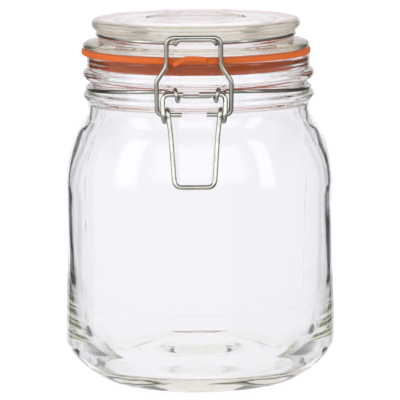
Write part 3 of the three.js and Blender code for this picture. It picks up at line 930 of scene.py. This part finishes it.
class JAR_OT_gasket(bpy.types.Operator):
    """Make the rubber gasket with its drooping pull tab"""

    bl_idname = "jar.gasket"
    bl_label = "Gasket"

    def execute(self, context):
        gasket = context.scene.jar_gasket
        outer, inner = gasket.outer_radius / MM, gasket.inner_radius / MM
        reach = gasket.tab_reach / MM
        middle = (GASKET_BOTTOM + GASKET_TOP) / 2
        half_thickness = (GASKET_TOP - GASKET_BOTTOM) / 2
        # The tab is 14.3 mm wide. Its left corner droops and the rest of it lifts by as much.
        tab_left, tab_right = -9.4, 4.9
        tab_twist, tab_rounding, tab_thinning = 1.9, 2.0, 0.3
        tongue_root, tongue_steps = outer - 1.4, 8
        tip_steps, tip_squareness = 7, 0.5
        groove = inner + 1.6
        # The inner edge is turned down between the lid's plug and the lip, and seen through the neck
        # as a band. Distances are from the inner radius, up the outside and then down the inside.
        skirt_outside = (
            (-2.05, 132.35), (-1.7, 132.3), (-1.45, 132.6), (-1.1, 134),
            (-0.6, 135.8), (-0.15, 137.1), (0.3, 137.7),
        )
        skirt_inside = (
            (-0.8, 139.9), (-1.15, 139.2), (-1.5, 137.8), (-2.0, 135.8), (-2.25, 134), (-2.3, 132.8),
        )

        def section(angle):
            """The ring's closed section at an angle from the front, as distances and heights."""
            x = outer * math.sin(angle)
            across = (x - tab_left) / (tab_right - tab_left)
            on_tab = math.cos(angle) > 0 and 0 <= across <= 1
            rounding = tab_rounding * abs(2 * across - 1) ** 3 if on_tab else 0.0
            edge = smooth(0, 0.05, across) * smooth(0, 0.05, 1 - across) if on_tab else 0.0
            extra = edge * (reach - rounding - outer)
            lift = tab_twist * (2 * smooth(0.0, 0.42, across) - 1) * edge
            tip_half = half_thickness - tab_thinning * edge
            turned_down = smooth(-0.35, 0.1, math.cos(angle))

            def at(t, side):
                """A point of the outer part, from its root (0) to its tip (1), on one side (-1 or 1)."""
                r = tongue_root + (outer + extra - tip_half - tongue_root) * t
                beyond = max(0.0, r - outer + 0.4) / (reach - outer)
                half = half_thickness + (tip_half - half_thickness) * t
                return r, middle + lift * beyond ** 1.4 + side * half

            def hung(r, z):
                """A point of the turned-down edge, which flattens out towards the back."""
                below = min(z - GASKET_BOTTOM, 0.0)
                return inner + r, z - below + below * turned_down

            points = [hung(r, z) for r, z in skirt_outside] + [(groove, GASKET_BOTTOM)]
            points += [at(k / tongue_steps, -1) for k in range(tongue_steps + 1)]
            tip_r, tip_top = at(1, 1)
            for k in range(1, tip_steps):
                turn = -math.pi / 2 + math.pi * k / tip_steps
                bulge = math.copysign(abs(math.sin(turn)) ** tip_squareness, math.sin(turn))
                out = tip_half * math.cos(turn) ** tip_squareness
                points.append((tip_r + out, tip_top - tip_half + tip_half * bulge))
            points += [at(1 - k / tongue_steps, 1) for k in range(tongue_steps + 1)]
            points += [(groove, GASKET_TOP), (inner, GASKET_TOP)]
            return points + [hung(r, z) for r, z in skirt_inside]

        # Columns are 0.4 degrees apart round the tab, within 16 degrees of the front, and 2 elsewhere.
        columns = [0.4 * k for k in range(-40, 41)] + [16 + 2 * k for k in range(1, 164)]
        vertices, faces = [], []
        for degrees in columns:
            angle = math.radians(degrees)
            for r, z in section(angle):
                vertices.append(placed(r * math.sin(angle) + LID_PLAY, -r * math.cos(angle), z))
        rows = len(vertices) // len(columns)
        for i in range(len(columns)):
            for j in range(rows):
                on, up = (i + 1) % len(columns), (j + 1) % rows
                faces.append((i * rows + j, on * rows + j, on * rows + up, i * rows + up))
        mesh = bpy.data.meshes.new("gasket_ring")
        mesh.from_pydata(vertices, [], faces)
        mesh.validate()
        mesh.polygons.foreach_set("use_smooth", [True] * len(mesh.polygons))
        mesh.materials.append(material_named("moulded_orange_rubber", moulded_rubber, gasket))
        face_outwards(mesh)
        piece = new_object("gasket_ring", mesh)
        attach(piece, "lid")
        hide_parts("gasket")
        return {"FINISHED"}


class JAR_OT_wires(bpy.types.Operator):
    """Bend the neck wire, the lid wire, the bail and the lever"""

    bl_idname = "jar.wires"
    bl_label = "Wire Closure"

    def execute(self, context):
        wire = context.scene.jar_wire
        tree = wire_tree()
        material = material_named("bright_drawn_steel_wire", bright_wire, wire)
        play = wire.clasp_play / MM
        # The handle comes as far forward as its solid does, less a hair.
        solid_reach = (AXIS.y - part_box("lever")[0].y - wire.clasp_diameter / 2) / MM
        neck_route = front_shifted(neck_wire_route(), COIL_PLAY)
        lid_route = shifted(lid_wire_route(), LID_PLAY)
        clasp_route = shifted(bail_route(), play)
        handle_route = shifted(lever_route(solid_reach - 0.05), play)
        for name, node, body, route, diameter in (
            ("neck_wire_bent", "neck_wire", "jar", neck_route, wire.ring_diameter),
            ("lid_wire_bent", "lid_wire", "lid", lid_route, wire.lid_diameter),
            ("bail_bent", "bail", "bail", clasp_route, wire.clasp_diameter),
            ("lever_bent", "lever", "lever", handle_route, wire.clasp_diameter),
        ):
            mesh = bpy.data.meshes.new(name + "_route")
            edges = [(i, i + 1) for i in range(len(route) - 1)]
            mesh.from_pydata([placed(*p) for p in route], edges, [])
            piece = run_tree(new_object(name + "_source", mesh), tree, {
                "Diameter": diameter,
                "Material": material,
            }, name)
            face_outwards(piece.data)
            # The four-cornered faces go round the wire, and the others are its flat cut ends.
            for face in piece.data.polygons:
                face.use_smooth = len(face.vertices) == 4
            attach(piece, body)
            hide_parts(node)
        return {"FINISHED"}


class JAR_OT_stage(bpy.types.Operator):
    """Lay the paper floor, light the studio and set the camera"""

    bl_idname = "jar.stage"
    bl_label = "Stage"

    def execute(self, context):
        stage = context.scene.jar_stage
        self.lay_floor(stage)
        self.light_studio(context.scene, stage)
        self.set_camera(context.scene, stage)
        context.scene.view_settings.view_transform = "Standard"
        # Light is led a long way inside the thick foot and rim before it comes out.
        bounces = 24
        cycles = context.scene.cycles
        cycles.max_bounces = cycles.glossy_bounces = cycles.transmission_bounces = bounces
        return {"FINISHED"}

    def lay_floor(self, stage):
        """A disc of white paper, which the glass and the wires don't show."""
        shape = bmesh.new()
        bmesh.ops.create_circle(shape, cap_ends=True, segments=96, radius=stage.floor_radius)
        bmesh.ops.translate(shape, verts=shape.verts, vec=AXIS)
        mesh = bpy.data.meshes.new("paper_floor")
        shape.to_mesh(mesh)
        shape.free()
        mesh.materials.append(matt_paper())
        floor = new_object("paper_floor", mesh)
        floor.visible_transmission = floor.visible_glossy = False

    def light_studio(self, scene, stage):
        """Soft white light all round, as a tent of paper gives."""
        world = bpy.data.worlds.new("studio")
        world.use_nodes = True
        tree = world.node_tree
        tree.nodes.clear()
        place = add_node(tree, "ShaderNodeTexCoord")
        way = add_node(tree, "ShaderNodeSeparateXYZ", None, {"Vector": (place, "Generated")})
        azimuth = add_node(tree, "ShaderNodeMath", {"operation": "ARCTAN2"}, [(way, "X"), (way, "Y")])
        either_side = add_node(tree, "ShaderNodeMath", {"operation": "ABSOLUTE"}, [azimuth])
        elevation = add_node(tree, "ShaderNodeMath", {"operation": "ARCSINE"}, [(way, "Z")])

        def band(angle, low, high, soft):
            """One between two angles in degrees and nought outside, with soft edges."""
            low, high, soft = (math.radians(a) for a in (low, high, soft))
            rise = add_node(tree, "ShaderNodeMapRange", {"interpolation_type": "SMOOTHSTEP"}, {
                "Value": angle, "From Min": low - soft, "From Max": low + soft,
            })
            fall = add_node(tree, "ShaderNodeMapRange", {"interpolation_type": "SMOOTHSTEP"}, {
                "Value": angle, "From Min": high - soft, "From Max": high + soft,
                "To Min": 1.0, "To Max": 0.0,
            })
            return add_node(tree, "ShaderNodeMath", {"operation": "MULTIPLY"}, [rise, fall])

        def lit(base, area, brightness):
            """The brightness base, changed to another inside an area or for one kind of ray."""
            return add_node(tree, "ShaderNodeMix", {"data_type": "FLOAT"}, {
                "Factor": area, "A": base, "B": brightness,
            })

        def tent(brightness, patches):
            """A tent of one brightness with patches of others, each over those before it.

            A patch is an angle round the jar with its limits, the limits of its elevation, and a
            brightness. Limits are low, high and softness in degrees.
            """
            for (angle, around), above, other in patches:
                area = add_node(tree, "ShaderNodeMath", {"operation": "MULTIPLY"}, [
                    band(angle, *around), band(elevation, *above),
                ])
                brightness = lit(brightness, area, other)
            return brightness

        # Azimuth is nought behind the jar and grows to the right. Through the glass the tent is white,
        # but for three pairs of cards: grey ones low down, and black ones that draw the jar's edges.
        through = tent(stage.glow, (
            ((either_side, (36, 85, 6)), (-100, -28, 6), 0.3),
            ((either_side, (18.5, 27, 1.5)), (-2, 17, 2), 0.1),
            ((either_side, (19, 32, 1.2)), (-17, -1, 1.2), 0.08),
        ))
        # Mirrored in the wires and the glass: white behind, a dimmer front, a dark right side, black
        # cards either side behind, a dark ceiling, a high soft box in front, and a window each side.
        mirrored_tent = tent(1.0, (
            ((either_side, (60, 200, 6)), (-100, 100, 1), 0.66),
            ((azimuth, (50, 150, 6)), (-100, 54, 1), 0.2),
            ((either_side, (25, 76, 2)), (-45, 50, 6), 0.08),
            ((either_side, (-10, 200, 1)), (54, 100, 6), 0.08),
            ((either_side, (138, 200, 8)), (8, 40, 5), 2.0),
            ((azimuth, (-124, -102, 4)), (0, 44, 5), 2.6),
            ((azimuth, (112, 126, 3)), (0, 44, 5), 2.4),
        ))
        path = add_node(tree, "ShaderNodeLightPath")
        seen = lit(mirrored_tent, (path, "Is Transmission Ray"), through)
        # The light on matt things is stronger from the left by this share, and weaker from the right.
        lean = 0.35
        fill = add_node(tree, "ShaderNodeMath", {"operation": "MULTIPLY_ADD"}, [
            (way, "X"), -lean * stage.fill, stage.fill,
        ])
        seen = lit(seen, (path, "Is Diffuse Ray"), fill)
        seen = lit(seen, (path, "Is Camera Ray"), stage.backdrop)
        light = add_node(tree, "ShaderNodeBackground", None, {
            "Color": linear("#FBF9FF"), "Strength": seen,
        })
        add_node(tree, "ShaderNodeOutputWorld", None, {"Surface": (light, "Background")})
        scene.world = world

    def set_camera(self, scene, stage):
        """A long lens from the front, a little above the jar."""
        data = bpy.data.cameras.new("camera")
        data.lens = stage.lens
        data.sensor_width = 36.0
        # Parts of a pixel, to frame the jar as the photograph does.
        data.shift_x = 0.5 / PHOTO_PIXELS
        data.shift_y = 0.4 / PHOTO_PIXELS
        camera = new_object("camera", data)
        eye = AXIS + Vector((0, -stage.camera_back, stage.camera_height))
        target = AXIS + Vector((0, 0, stage.target_height))
        facing = (target - eye).to_track_quat("-Z", "Y").to_matrix()
        turn = facing @ Matrix.Rotation(stage.roll, 3, "Z")
        camera.matrix_world = Matrix.Translation(eye) @ turn.to_4x4()
        scene.camera = camera


class JAR_PT_panel(bpy.types.Panel):
    """Lists the jar's operators and their settings."""

    bl_idname = "JAR_PT_panel"
    bl_label = "Clip-top Jar"
    bl_space_type = "VIEW_3D"
    bl_region_type = "UI"
    bl_category = "Jar"

    def draw(self, context):
        for group, operator in (
            (context.scene.jar_glass, JAR_OT_glass),
            (context.scene.jar_gasket, JAR_OT_gasket),
            (context.scene.jar_wire, JAR_OT_wires),
            (context.scene.jar_stage, JAR_OT_stage),
        ):
            box = self.layout.box()
            for key in group.__annotations__:
                box.prop(group, key)
            box.operator(operator.bl_idname)


CLASSES = (
    JARGlassSettings,
    JARWireSettings,
    JARGasketSettings,
    JARStageSettings,
    JAR_OT_glass,
    JAR_OT_gasket,
    JAR_OT_wires,
    JAR_OT_stage,
    JAR_PT_panel,
)


def register():
    for kind in CLASSES:
        bpy.utils.register_class(kind)
    bpy.types.Scene.jar_glass = PointerProperty(type=JARGlassSettings)
    bpy.types.Scene.jar_wire = PointerProperty(type=JARWireSettings)
    bpy.types.Scene.jar_gasket = PointerProperty(type=JARGasketSettings)
    bpy.types.Scene.jar_stage = PointerProperty(type=JARStageSettings)


def unregister():
    for key in ("jar_glass", "jar_wire", "jar_gasket", "jar_stage"):
        delattr(bpy.types.Scene, key)
    for kind in reversed(CLASSES):
        bpy.utils.unregister_class(kind)


def main():
    register()
    bpy.ops.jar.glass()
    bpy.ops.jar.gasket()
    bpy.ops.jar.wires()
    bpy.ops.jar.stage()


if __name__ == "__main__":
    main()
